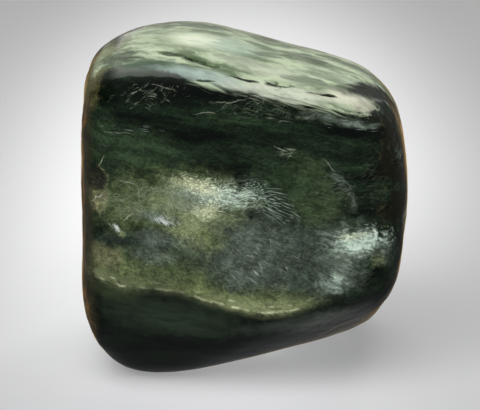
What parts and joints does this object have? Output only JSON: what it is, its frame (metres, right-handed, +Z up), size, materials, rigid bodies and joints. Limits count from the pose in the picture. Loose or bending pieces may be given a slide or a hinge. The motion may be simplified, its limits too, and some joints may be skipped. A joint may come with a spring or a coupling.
{
  "type": "tumbled seraphinite stone",
  "caption": "Tumbled and polished dark green seraphinite with silvery feathery fibres: a rounded block that stands on a worn flat.",
  "frame": {"origin": "on the surface that the stone rests on, under the middle of the stone's box", "axes": "+Z up, -Y towards the broad polished face, +X to that face's right, and the stone is thinnest along Y"},
  "size_m": [0.0304, 0.0264, 0.0305],
  "materials": {
    "seraphinite": "polished dark green stone with silvery fibres"
  },
  "bodies": {
    "root": {"seraphinite_stone": "seraphinite"}
  },
  "joints": []
}
